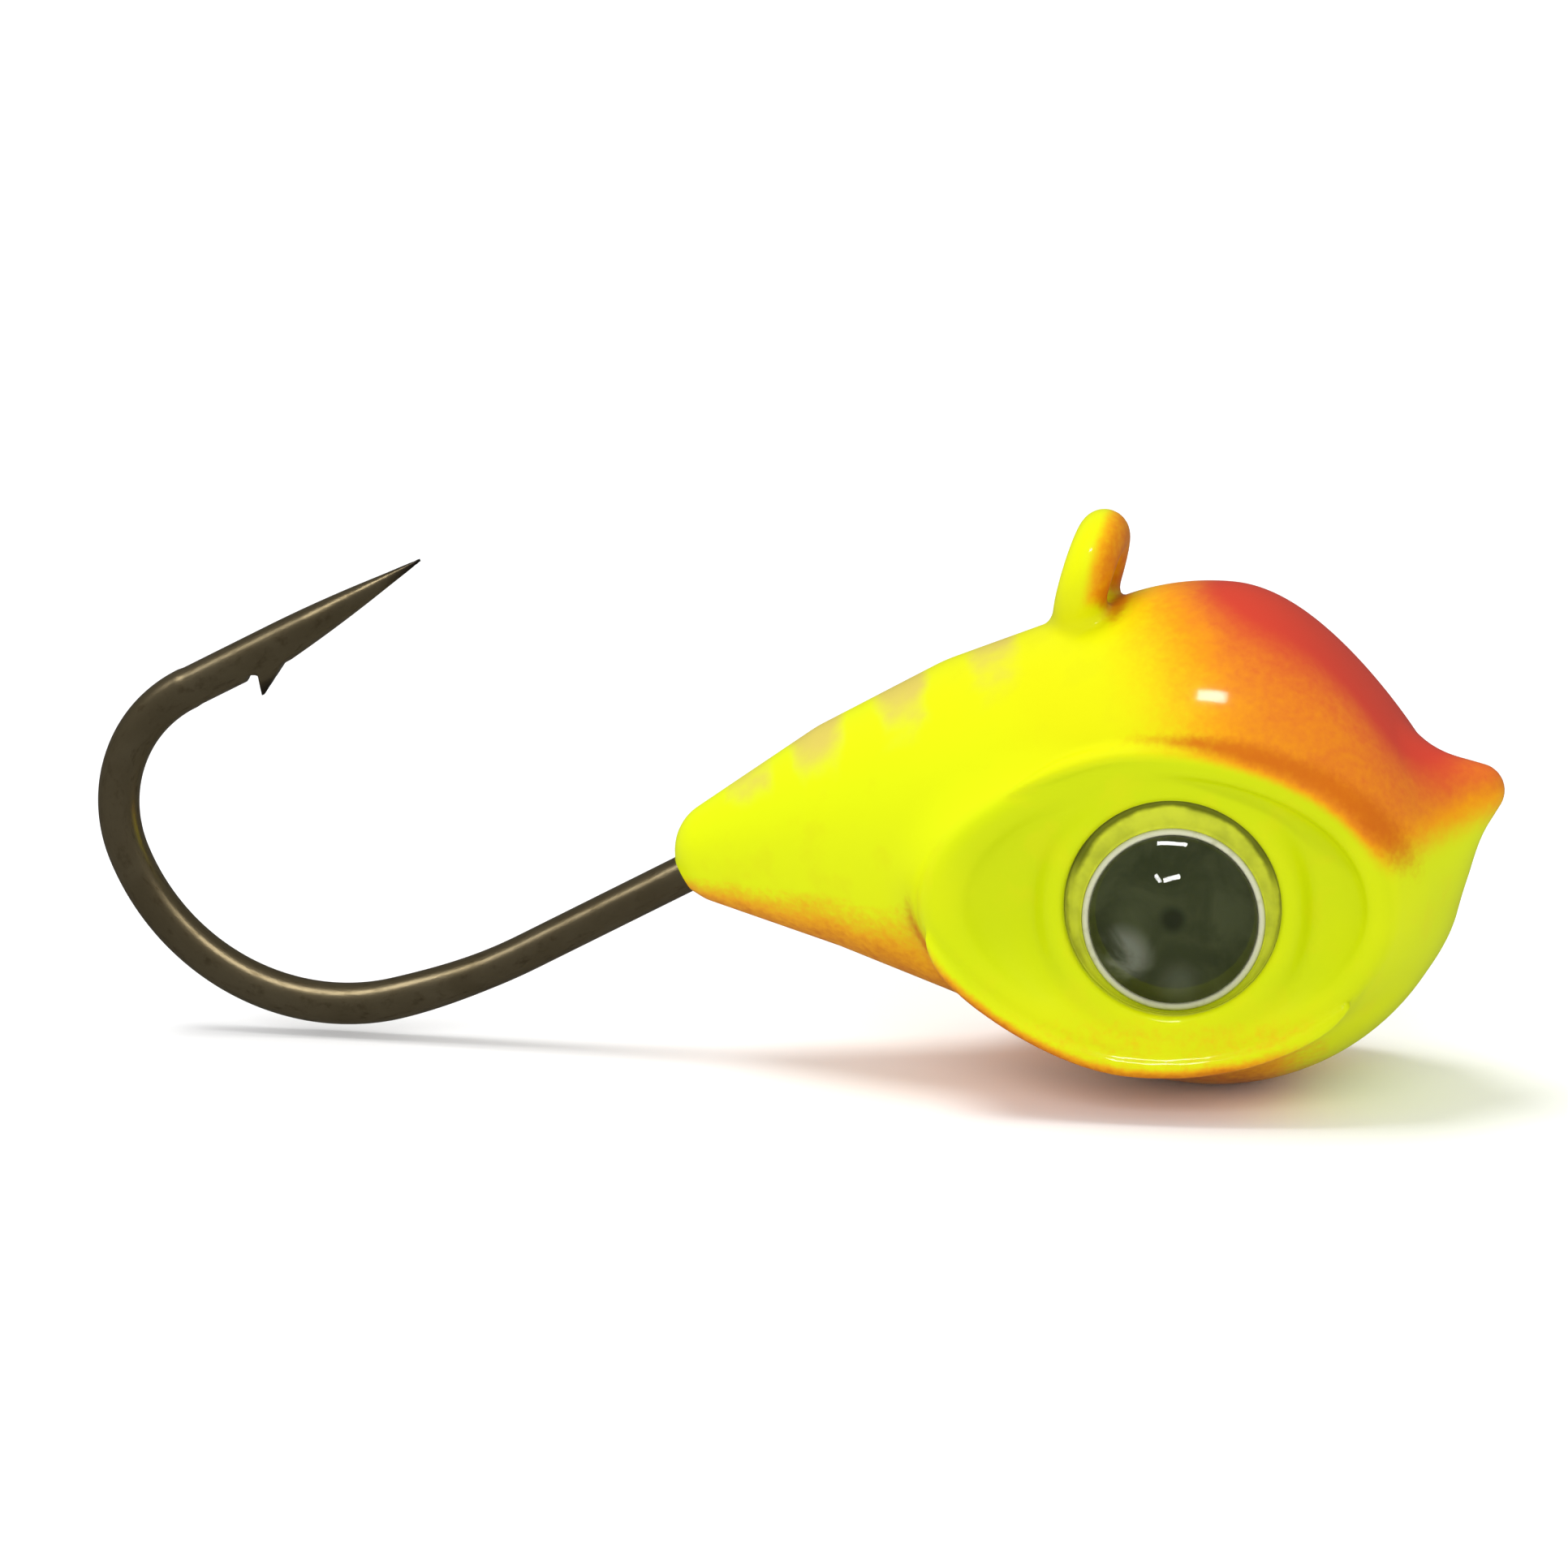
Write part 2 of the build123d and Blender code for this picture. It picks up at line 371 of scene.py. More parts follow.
def new_object(name, verts, faces, material):
    """A smooth-shaded mesh object; verts are millimetres."""
    mesh = bpy.data.meshes.new(name)
    verts = np.asarray(verts, float)
    mesh.from_pydata([tuple(v) for v in verts * MM], [], [tuple(int(i) for i in f) for f in faces])
    mesh.validate()
    mesh.polygons.foreach_set("use_smooth", [True] * len(mesh.polygons))
    mesh.materials.append(material)
    mesh.update()
    obj = bpy.data.objects.new(name, mesh)
    bpy.context.scene.collection.objects.link(obj)
    return obj


def add_attribute(obj, name, values):
    """Stores one number per vertex, for the material to read."""
    layer = obj.data.attributes.new(name, "FLOAT", "POINT")
    layer.data.foreach_set("value", np.asarray(values, np.float32))


# ---------------------------------------------------------------- node helpers
def srgb(*channels):
    """Linear colour from 0-255 sRGB channels."""
    def linear(c):
        return c / 12.92 if c <= 0.04045 else ((c + 0.055) / 1.055) ** 2.4
    return (*(linear(c / 255.0) for c in channels), 1.0)


class Nodes:
    """A material with short names for the nodes that are used here."""

    def __init__(self, name):
        self.material = bpy.data.materials.new(name)
        self.material.use_nodes = True
        self.tree = self.material.node_tree
        self.shader = self.tree.nodes["Principled BSDF"]
        self.coords = self.tree.nodes.new("ShaderNodeTexCoord").outputs["Object"]

    def link(self, a, b):
        self.tree.links.new(a, b)

    def put(self, socket, value):
        """Links the socket to another, or sets it to a plain value."""
        if isinstance(value, bpy.types.NodeSocket):
            self.link(value, socket)
        else:
            socket.default_value = value

    def noise(self, scale, detail=3.0, rough=0.5, distortion=0.0, coords=None):
        n = self.tree.nodes.new("ShaderNodeTexNoise")
        n.inputs["Scale"].default_value = scale
        n.inputs["Detail"].default_value = detail
        n.inputs["Roughness"].default_value = rough
        n.inputs["Distortion"].default_value = distortion
        self.link(coords or self.coords, n.inputs["Vector"])
        return n.outputs["Fac"]

    def math(self, op, a, b=0.0, clamp=False):
        n = self.tree.nodes.new("ShaderNodeMath")
        n.operation = op
        n.use_clamp = clamp
        self.put(n.inputs[0], a)
        self.put(n.inputs[1], b)
        return n.outputs[0]

    def step(self, value, low, high):
        """0 up to low, 1 from high on, smooth between."""
        n = self.tree.nodes.new("ShaderNodeMapRange")
        n.interpolation_type = "SMOOTHSTEP"
        self.put(n.inputs["Value"], value)
        n.inputs["From Min"].default_value = low
        n.inputs["From Max"].default_value = high
        return n.outputs["Result"]

    def mix(self, fac, a, b):
        n = self.tree.nodes.new("ShaderNodeMix")
        n.data_type = "RGBA"
        color_a, color_b = n.inputs[6:8]
        self.put(n.inputs["Factor"], fac)
        self.put(color_a, a)
        self.put(color_b, b)
        return n.outputs[2]

    def attribute(self, name):
        n = self.tree.nodes.new("ShaderNodeAttribute")
        n.attribute_name = name
        return n.outputs["Fac"]

    def bump(self, height, strength, distance, normal=None):
        n = self.tree.nodes.new("ShaderNodeBump")
        n.inputs["Strength"].default_value = strength
        n.inputs["Distance"].default_value = distance
        self.link(height, n.inputs["Height"])
        if normal is not None:
            self.link(normal, n.inputs["Normal"])
        return n.outputs["Normal"]


# ---------------------------------------------------------------- paint
def paint_material():
    """Fluorescent yellow under sprayed orange and red, each coat where its vertex mask says, with painted
    shade in the eye socket, in the crease round it and on the pocket's wall.
    """
    m = Nodes("fluorescent_paint")
    s = m.shader
    grain = m.math("SUBTRACT", m.noise(9000.0, 2.0, 0.6), 0.5)
    mottle = m.math("SUBTRACT", m.noise(1500.0, 3.0, 0.55), 0.5)
    soft = m.noise(260.0, 3.0, 0.5)

    # painted shade: a darker copy of the yellow in the eye socket and towards the nose
    yellow = m.mix(m.attribute("dish"), srgb(228, 240, 6), srgb(208, 224, 3))
    yellow = m.mix(m.attribute("lemon"), yellow, srgb(230, 226, 4))
    yellow = m.mix(m.math("MULTIPLY", m.step(soft, 0.4, 0.7), 0.5), yellow, srgb(232, 238, 8))
    yellow = m.mix(m.math("MULTIPLY", m.step(mottle, 0.02, 0.2), 0.3), yellow, srgb(224, 222, 14))

    # grain of the overspray is strongest where the coat is thin
    coat = m.attribute("overspray")
    thin = m.math("MULTIPLY", coat, m.math("SUBTRACT", 1.0, coat))
    coat = m.math("ADD", coat, m.math("MULTIPLY", grain, m.math("MULTIPLY", thin, 0.8)))
    coat = m.math("ADD", coat, m.math("MULTIPLY", mottle, m.math("MULTIPLY", thin, 0.7)))
    colour = m.mix(m.step(coat, 0.02, 0.62), yellow, srgb(240, 156, 12))
    colour = m.mix(m.step(coat, 0.5, 1.0), colour, srgb(208, 66, 46))

    speckle = m.math("ADD", grain, mottle)
    stripe = m.attribute("belly")
    belly = m.math("ADD", stripe, m.math("MULTIPLY", speckle, 0.45))
    belly = m.math("MULTIPLY", belly, m.step(stripe, 0.0, 0.2))
    colour = m.mix(m.step(belly, 0.05, 0.75), colour, srgb(240, 168, 16))
    colour = m.mix(m.step(belly, 0.6, 1.1), colour, srgb(206, 118, 10))

    # paint gathered in the creases, partly painted shade in the crease and at the ring's foot
    crease = m.attribute("crease_paint_and_shade")
    crease_paint_and_shade = m.math("ADD", crease, m.math("MULTIPLY", speckle, 0.4))
    crease_paint_and_shade = m.math("MULTIPLY", m.step(crease_paint_and_shade, 0.1, 0.9), m.step(crease, 0.0, 0.25))
    colour = m.mix(m.math("MULTIPLY", crease_paint_and_shade, 0.85), colour, srgb(206, 104, 10))

    solder = m.attribute("patch")
    patch = m.math("ADD", solder, m.math("MULTIPLY", mottle, 0.9))
    patch = m.math("MULTIPLY", m.step(patch, 0.15, 1.0), m.step(solder, 0.02, 0.4))
    colour = m.mix(m.math("MULTIPLY", patch, 0.9), colour, srgb(218, 196, 96))
    # painted shade on the eye pocket's wall, darkest at the top
    colour = m.mix(m.attribute("wall"), colour, srgb(84, 90, 18))
    colour = m.mix(0.1, colour, (0, 0, 0, 1))
    m.link(colour, s.inputs["Base Color"])
    s.inputs["Roughness"].default_value = 0.5
    s.inputs["Specular IOR Level"].default_value = 0.08
    s.inputs["Coat Weight"].default_value = 0.3
    s.inputs["Coat Roughness"].default_value = 0.09
    peel = m.noise(900.0, 2.0, 0.5)
    fine = m.noise(5200.0, 2.0, 0.5)
    normal = m.bump(peel, 0.35, 0.00003)
    normal = m.bump(fine, 0.2, 0.000006, normal)
    m.link(normal, s.inputs["Normal"])
    return m.material


class Skin:
    """Where each vertex of the casting lies: in the part, on the eyelid and on the ring."""

    def __init__(self, verts, grad):
        self.x, self.y, self.z = verts.T
        self.side = np.abs(self.y)
        self.normal = grad / np.linalg.norm(grad, axis=1)[:, None]
        self.u, self.v, self.w = socket_coords(self.x, self.y, self.z)
        _, self.rho = eyelid_oval(*almond(self.u, self.v))
        self.raised = self.w > -1.25
        self.in_socket = smoothstep(-self.rho, -1.04, -0.95) * self.raised
        self.ring = smoothstep(self.z - 0.27 * self.x, -0.42, -0.15) * (self.x < 1.1)


def overspray(skin):
    """Orange to red from above the nose, heaviest along the middle, and the front of the ring."""
    x, z, side = skin.x, skin.z, skin.side
    coat = 0.65 * smoothstep(x + 0.35 * (z + 1.8), 0.3, 3.2) * (1 - 0.3 * smoothstep(x, 4.2, 5.5))
    coat = coat + 0.2 * np.exp(-((side / 1.6) ** 2)) * smoothstep(x, 0.0, 0.8)
    ridge_width = 1.3 - 0.35 * smoothstep(x, 2.0, 4.2)
    ridge = np.exp(-((side / ridge_width) ** 2)) * smoothstep(x, 0.6, 2.5)
    coat = coat + 0.34 * ridge * (1 - 0.5 * smoothstep(x, 4.2, 5.6))
    coat = coat * smoothstep(z - 0.36 * (x - 4.4), -4.05, -2.9)
    coat = coat * (1 - 0.9 * skin.in_socket)
    front = smoothstep(skin.normal[:, 0], -0.15, 0.6)
    coat = coat * (1 - skin.ring) + skin.ring * 0.5 * front
    drop_at_ring_foot = np.exp(-((x - 0.42) ** 2 + (z + 0.2) ** 2) / 0.02)
    return np.clip(coat + 0.35 * drop_at_ring_foot, 0, 1)


def crease_paint_and_shade(skin):
    """Darker orange-brown round the eyelid's crease, at the ring's foot and on its front edge: paint run
    together there, and painted shade in the crease and at the foot.
    """
    u, v, rho = skin.u, skin.v, skin.rho
    over = np.exp(-(((rho - 1.1) / (0.05 + 0.03 * smoothstep(u, 0.0, 2.0))) ** 2))
    over = over * smoothstep(u, -1.4, 1.2) * smoothstep(v - 0.12 * u, -0.4, 0.9)
    behind = np.exp(-(((rho - 1.07) / 0.035) ** 2))
    behind = behind * smoothstep(-v, -0.4, 0.7) * smoothstep(-u, 0.3, 1.8)
    crease = (0.85 * over + 0.75 * behind) * (1 - skin.in_socket)
    ring_foot = np.exp(-((skin.x - 0.42) ** 2 + (skin.z + 0.32) ** 2) / 0.035)
    ring_edge = skin.ring * smoothstep(skin.normal[:, 0], 0.2, 0.9) * 0.55
    return np.clip(crease + 0.8 * ring_foot + ring_edge, 0, 1)


def belly_stripe(skin):
    """Stripe along the belly, thrown up against the lower edge of the eyelid."""
    rho = skin.rho
    keel = smoothstep(-skin.normal[:, 2], 0.12, 0.85)
    keel = keel * smoothstep(-skin.x, -4.1, -2.2) * smoothstep(-skin.z, 3.9, 4.7)
    under_rim = smoothstep(rho, 0.965, 1.05) * (1 - smoothstep(rho, 1.15, 1.3)) * skin.raised
    under_rim = under_rim * smoothstep(-skin.v, 0.2, 1.2) * smoothstep(-skin.u, -2.6, -0.8)
    stripe = np.maximum(keel * 0.9 * (1 - skin.in_socket), 0.95 * under_rim)
    stripe = np.maximum(stripe, 0.2 * smoothstep(-skin.v, 1.0, 1.8) * skin.in_socket)
    return np.clip(stripe, 0, 1.1)


def lemon(skin):
    """Warmer yellow on the back round the ring, and low in the dish."""
    back = np.exp(-(((skin.x - 0.3) / 1.9) ** 2 + ((skin.z + 1.3) / 1.1) ** 2))
    back = back + 0.4 * smoothstep(skin.z - 0.3 * skin.x, -1.4, -0.6)
    low_in_dish = 0.5 * smoothstep(-skin.v, 0.8, 1.9) * skin.in_socket
    return np.clip(back, 0, 1) * (1 - skin.in_socket) + low_in_dish


def solder_patches(skin):
    """Patches along the tail's back where the solder shows through, each with its place and strength."""
    across = ((skin.side - 0.2) / 0.95) ** 2
    patch = 0
    for at, strength in ((-4.9, 0.6), (-3.95, 1.05), (-2.75, 1.1), (-1.45, 0.75)):
        patch = patch + strength * np.exp(-(((skin.x - 0.3 * skin.side - at) / 0.4) ** 4) - across)
    return patch * smoothstep(skin.normal[:, 2], 0.1, 0.7) * (skin.x < -0.6)


def pocket_wall(skin):
    """Shade on the wall of the eye pocket, darkest at the top."""
    reach = np.hypot(skin.u - POCKET_OFFSET[0], skin.v - POCKET_OFFSET[1])
    wall = smoothstep(-reach, -POCKET_RADIUS - 0.015, -POCKET_RADIUS + 0.02)
    wall = wall * (skin.w < -0.36) * skin.raised
    return wall * (0.1 + 0.8 * smoothstep(skin.v, -0.3, 0.9))


def painted_head():
    step = 0.055
    verts, faces = surface_nets(head_field, (-6.75, -3.45, -7.6), (6.3, 3.45, 1.35), step)
    piece = new_object("painted_head", verts, faces, paint_material())
    skin = Skin(verts, value_and_gradient(head_field, verts)[1])
    masks = {
        "overspray": overspray(skin),
        "crease_paint_and_shade": crease_paint_and_shade(skin),
        "belly": belly_stripe(skin),
        "lemon": lemon(skin),
        # painted shade: the socket and the front of the head take a darker yellow
        "dish": np.clip(skin.in_socket + 0.5 * smoothstep(skin.x, 2.5, 4.5), 0, 1),
        # paint gathered in creases, partly painted shade
        "patch": solder_patches(skin),
        # painted shade on the pocket's wall
        "wall": pocket_wall(skin),
    }
    for name, values in masks.items():
        add_attribute(piece, name, values)
    return piece, float(verts[:, 2].min())


head, head_bottom = painted_head()
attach(head, "root")
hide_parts("head_casting", "slot_solder")


# ---------------------------------------------------------------- hook
def turned(direction, degrees):
    """Direction in the hook's plane turned clockwise."""
    a = math.radians(degrees)
    x, z = direction
    return np.array([x * math.cos(a) + z * math.sin(a), -x * math.sin(a) + z * math.cos(a)])


def bent_wire():
    """Pieces of the wire's centre line in its own plane: straight runs and clockwise arcs."""
    neck_up, shank_back, shank_exit = (v[[0, 2]] for v in (RING_UP, SHANK_BACK, SHANK_EXIT))
    corner = neck_up * (np.cross(shank_exit, shank_back) / np.cross(neck_up, shank_back))
    neck_turn = 90 - math.degrees(RING_LEAN + SHANK_SLOPE)
    cut = NECK_BEND_RADIUS * math.tan(math.radians(neck_turn) / 2)
    neck = np.linalg.norm(corner) - RING_RADIUS - cut
    shank = np.linalg.norm(shank_exit - corner) - cut + SHANK_STRAIGHT
    course = (
        (neck, NECK_BEND_RADIUS, neck_turn),
        (shank, *HEEL_CURVE),
        (0, *BEND_CURVE),
        (0, *THROAT_CURVE),
    )

    pieces = []
    direction = -neck_up
    point = direction * RING_RADIUS
    for run, radius, angle in course:
        if run:
            pieces.append(("line", point, point + direction * run))
            point = point + direction * run
        center = point + turned(direction, 90) * radius
        start = point - center
        pieces.append(("arc", center, radius, start, angle))
        point = center + turned(start, angle)
        direction = turned(direction, angle)
    pieces.append(("line", point, point + direction * ARM_LENGTH))
    return pieces


WIRE_PIECES = bent_wire()
ARM_START, ARM_END = WIRE_PIECES[-1][1:]
ARM_DIR = (ARM_END - ARM_START) / ARM_LENGTH
ARM_UP = np.array([-ARM_DIR[1], ARM_DIR[0]])


def arm_coords(x, z):
    """Distances along and across the arm of the point, from the start of its straight run."""
    dx, dz = x - ARM_START[0], z - ARM_START[1]
    return dx * ARM_DIR[0] + dz * ARM_DIR[1], dx * ARM_UP[0] + dz * ARM_UP[1]


def wire_distance(x, z, pieces):
    """Distance in the hook's plane to the wire's centre line."""
    best = None
    for piece in pieces:
        if piece[0] == "line":
            _, a, b = piece
            ba = b - a
            t = np.clip(((x - a[0]) * ba[0] + (z - a[1]) * ba[1]) / float(ba @ ba), 0, 1)
            d = np.hypot(x - a[0] - ba[0] * t, z - a[1] - ba[1] * t)
        else:
            _, c, radius, start, angle = piece
            mid = turned(start, angle / 2) / radius
            px, pz = x - c[0], z - c[1]
            reach = np.hypot(px, pz)
            within = (px * mid[0] + pz * mid[1]) >= reach * math.cos(math.radians(angle / 2))
            ends = [c + start, c + turned(start, angle)]
            far = np.minimum(*(np.hypot(x - e[0], z - e[1]) for e in ends))
            d = np.where(within, np.abs(reach - radius), far)
        best = d if best is None else np.minimum(best, d)
    return best


def needle_point(s, h, y):
    """Arm ground away below to a needle; s and h are the arm's own coordinates."""
    left = np.clip(ARM_LENGTH - s, 0.0, POINT_TAPER)
    radius = np.maximum((0.335 * left - 0.04 * left * left) / 2, 0.006) * 1.02
    lift = POINT_LIFT * (1 - left / POINT_TAPER)
    outside = np.maximum(np.maximum(-s, s - ARM_LENGTH), 0.0)
    high = (h - lift) / radius
    wide = y / np.minimum(radius, POINT_HALF_WIDTH)
    return (np.sqrt(high * high + wide * wide + (outside / radius) ** 2) - 1.0) * radius


def raised_barb(s, h, y):
    """Sliver cut from the underside of the arm and bent out towards the bend."""
    barb = None
    for (s0, h0), (s1, h1) in zip(BARB, BARB[1:] + BARB[:1]):
        ds, dh = s1 - s0, h1 - h0
        edge = ((s - s0) * dh - (h - h0) * ds) / math.hypot(ds, dh)
        barb = edge if barb is None else smax(barb, edge, 0.015)
    thick = 0.03 + 0.16 * np.clip((h + 0.6) / 0.35, 0, 1)
    return smax(barb, np.abs(y) - thick, 0.05)


def hook_field(x, y, z):
    """Hook wire with its ring, its forged bend, its point and its barb."""
    # the bend is deeper in the plane of the hook and thinner across it
    forged = smoothstep(-x, 8.6, 10.2)
    depth = WIRE + 0.032 * forged
    width = WIRE - 0.022 * forged
    d = wire_distance(x, z, WIRE_PIECES[:-1])
    body = (np.sqrt((d / depth) ** 2 + (y / width) ** 2) - 1.0) * WIRE
    s, h = arm_coords(x, z)
    body = smin(body, needle_point(s, h, y), 0.02)
    body = np.minimum(body, ring_distance(x, y, z) - WIRE)
    body = smin(body, raised_barb(s, h, y), 0.035)
    nick = np.sqrt((s - NICK[0]) ** 2 + (h - NICK[1]) ** 2) - NICK_RADIUS
    return smax(body, -smax(nick, np.abs(y) - 0.22, 0.02), 0.02)


def bronze_material():
    m = Nodes("bronzed_steel")
    s = m.shader
    stretch = m.tree.nodes.new("ShaderNodeMapping")
    stretch.inputs["Scale"].default_value = (1.0, 6.0, 1.0)
    m.link(m.coords, stretch.inputs["Vector"])
    stain = m.noise(700.0, 4.0, 0.6, 0.4, stretch.outputs[0])
    scale_marks = m.noise(4200.0, 3.0, 0.6, 0.0, stretch.outputs[0])
    colour = m.mix(m.step(stain, 0.3, 0.75), srgb(136, 122, 92), srgb(152, 138, 108))
    colour = m.mix(m.math("MULTIPLY", m.step(scale_marks, 0.5, 0.8), 0.6), colour, srgb(92, 76, 46))
    point = m.attribute("point")
    colour = m.mix(point, colour, srgb(34, 32, 36))
    m.link(colour, s.inputs["Base Color"])
    s.inputs["Metallic"].default_value = 0.92
    rough = m.math("ADD", m.math("MULTIPLY", scale_marks, 0.14), 0.25)
    m.link(rough, s.inputs["Roughness"])
    m.link(m.bump(scale_marks, 0.3, 0.000008), s.inputs["Normal"])
    return m.material


def bronzed_hook():
    step = 0.04
    verts, faces = surface_nets(hook_field, (-14.95, -1.05, -7.15), (1.2, 1.05, 1.15), step, 32)
    # behind the casting, only the arm of the point reaches this high
    on_arm = (verts[:, 2] > -2.2) & (verts[:, 0] < -9.0)

    # the needle tip is finer than the mesh, so its last stretch is drawn out to full length
    along, _ = arm_coords(verts[:, 0], verts[:, 2])
    reached = float(along[on_arm].max())
    share = np.clip((along - TIP_FROM) / (reached - TIP_FROM), 0.0, 1.0) * on_arm
    verts[:, [0, 2]] += share[:, None] ** 2 * ((ARM_LENGTH - reached) * ARM_DIR + 0.012 * ARM_UP)

    # the tip and the barb are darkened
    _, across = arm_coords(verts[:, 0], verts[:, 2])
    tip = smoothstep(along + 0.8 * (0.1 - across), 3.35, 4.0) * on_arm
    barb = 0.8 * smoothstep(-across, 0.33, 0.5) * on_arm * (along > 0.9)
    piece = new_object("bronzed_hook", verts, faces, bronze_material())
    add_attribute(piece, "point", np.maximum(tip, barb))
    return piece


hook = bronzed_hook()
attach(hook, "root")
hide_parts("hook")


# ---------------------------------------------------------------- eyes
def ring_stack(name, side, rings, material, segments=96):
    """Closed solid from circles square to the eye's axis: (drop, radius, height above pocket floor)."""
    along, up, out = socket_axes(side)
    origin = SOCKET_ORIGIN * (1, side, 1)
    base = origin + along * POCKET_OFFSET[0] + up * POCKET_OFFSET[1] - out * POCKET_DEPTH
    angles = np.linspace(0, 2 * math.pi, segments, endpoint=False)
    verts, faces = [], []
    for drop, radius, height in rings:
        center = base - up * drop + out * height
        for a in angles:
            verts.append(center + along * radius * math.cos(a) + up * radius * math.sin(a))
    for low in range(0, (len(rings) - 1) * segments, segments):
        high = low + segments
        for i in range(segments):
            j = (i + 1) % segments
            faces.append((low + i, low + j, high + j, high + i))
    for first, (drop, _, height) in ((0, rings[0]), ((len(rings) - 1) * segments, rings[-1])):
        middle = len(verts)
        verts.append(base - up * drop + out * height)
        for i in range(segments):
            j = (i + 1) % segments
            faces.append((first + i, first + j, middle) if first else (first + j, first + i, middle))
    if np.dot(np.cross(along, up), out) < 0:
        faces = [tuple(reversed(f)) for f in faces]
    return new_object(name, verts, faces, material)


def eye_coords(m, side):
    """Node sockets for the distance along and up from the middle of one eye, in millimetres."""
    along, up, _ = socket_axes(side)
    center = film_center(side)
    results = []
    for direction in (along, up):
        n = m.tree.nodes.new("ShaderNodeVectorMath")
        n.operation = "DOT_PRODUCT"
        m.link(m.coords, n.inputs[0])
        n.inputs[1].default_value = tuple(direction / MM)
        results.append(m.math("SUBTRACT", n.outputs["Value"], float(center @ direction)))
    return results


def blob(m, u, v, at, size):
    """1 in the middle of a soft round patch, 0 outside it."""
    du = m.math("SUBTRACT", u, at[0])
    dv = m.math("SUBTRACT", v, at[1])
    d2 = m.math("ADD", m.math("MULTIPLY", du, du), m.math("MULTIPLY", dv, dv))
    return m.math("SUBTRACT", 1.0, m.math("DIVIDE", m.math("SQRT", d2), size), clamp=True)


def foil_material(side):
    """Smoke-grey film with a soft dark pupil, a pale patch low down and a painted reflection at the lower
    left.
    """
    m = Nodes("smoke_foil_" + SIDES[side])
    s = m.shader
    u, v = eye_coords(m, side)
    cloud = m.noise(1300.0, 4.0, 0.55, 0.5)
    colour = m.mix(m.step(cloud, 0.35, 0.7), srgb(76, 81, 52), srgb(98, 103, 72))
    # painted reflection: a pale patch at the lower left of the film
    reflection_patch = m.step(blob(m, u, v, (-0.66, -0.5), 0.5), 0.0, 0.7)
    reflection_patch = m.math("MULTIPLY", reflection_patch, m.step(cloud, 0.3, 0.55))
    colour = m.mix(m.math("MULTIPLY", reflection_patch, 0.85), colour, srgb(176, 178, 166))
    low = m.step(blob(m, u, v, (0.1, -0.85), 0.42), 0.0, 0.9)
    colour = m.mix(m.math("MULTIPLY", low, 0.5), colour, srgb(136, 140, 120))
    pupil = m.math("ADD", blob(m, u, v, (0.0, 0.0), 0.3), m.math("MULTIPLY", cloud, 1.1))
    pupil = m.step(pupil, 0.75, 1.35)
    colour = m.mix(m.math("MULTIPLY", pupil, 0.75), colour, srgb(34, 38, 22))
    m.link(colour, s.inputs["Base Color"])
    s.inputs["Roughness"].default_value = 0.6
    s.inputs["Specular IOR Level"].default_value = 0.0
    m.link(m.bump(cloud, 0.2, 0.00002), s.inputs["Normal"])
    return m.material


def vinyl_material():
    m = Nodes("white_vinyl")
    speck = m.noise(6000.0, 3.0, 0.6)
    colour = m.mix(m.step(speck, 0.5, 0.85), srgb(232, 232, 200), srgb(200, 200, 160))
    m.link(colour, m.shader.inputs["Base Color"])
    m.shader.inputs["Roughness"].default_value = 0.4
    m.link(m.bump(speck, 0.2, 0.00001), m.shader.inputs["Normal"])
    return m.material


def resin_material():
    m = Nodes("clear_resin")
    cloud = m.noise(1600.0, 3.0, 0.5)
    colour = m.mix(m.step(cloud, 0.4, 0.8), srgb(250, 252, 248), srgb(244, 248, 240))
    m.link(colour, m.shader.inputs["Base Color"])
    m.shader.inputs["Roughness"].default_value = 0.02
    m.shader.inputs["IOR"].default_value = 1.49
    m.shader.inputs["Transmission Weight"].default_value = 1.0
    m.link(m.bump(cloud, 0.05, 0.00001), m.shader.inputs["Normal"])
    return m.material


def glue_material(side):
    """Hardened clear glue over yellow paint, with painted shade under the upper wall and along the brim,
    and painted light making it paler low down.
    """
    m = Nodes("clear_glue_" + SIDES[side])
    s = m.shader
    u, v = eye_coords(m, side)
    v = m.math("SUBTRACT", v, EYE_DROP)
    cloud = m.noise(2200.0, 3.0, 0.55)
    reach = m.math("SQRT", m.math("ADD", m.math("MULTIPLY", u, u), m.math("MULTIPLY", v, v)))
    reach = m.math("ADD", reach, m.math("MULTIPLY", m.math("SUBTRACT", cloud, 0.5), 0.12))
    colour = m.mix(m.step(cloud, 0.35, 0.7), srgb(220, 228, 60), srgb(194, 202, 54))
    # painted light: paler low down
    colour = m.mix(m.step(v, -0.6, -1.3), colour, srgb(224, 234, 40))
    # painted shade under the upper wall of the pocket
    shade = m.math("MULTIPLY", m.step(reach, 1.34, 1.42), m.step(v, 0.0, 0.7))
    colour = m.mix(m.math("MULTIPLY", shade, 0.9), colour, srgb(92, 98, 22))
    # painted shade: a thin dark line round the brim, missing at the bottom
    brim_shade = m.math("MULTIPLY", m.step(reach, 1.44, 1.49), m.step(v, -1.1, 0.2))
    colour = m.mix(m.math("MULTIPLY", brim_shade, 0.6), colour, srgb(96, 100, 26))
    m.link(colour, s.inputs["Base Color"])
    s.inputs["Roughness"].default_value = 0.12
    s.inputs["IOR"].default_value = 1.45
    s.inputs["Specular IOR Level"].default_value = 0.25
    m.link(m.bump(cloud, 0.15, 0.00002), s.inputs["Normal"])
    return m.material


def at_eye(profile):
    """Rings round the eye's own middle, from a profile of (radius, height)."""
    return [(EYE_DROP, radius, height) for radius, height in profile]


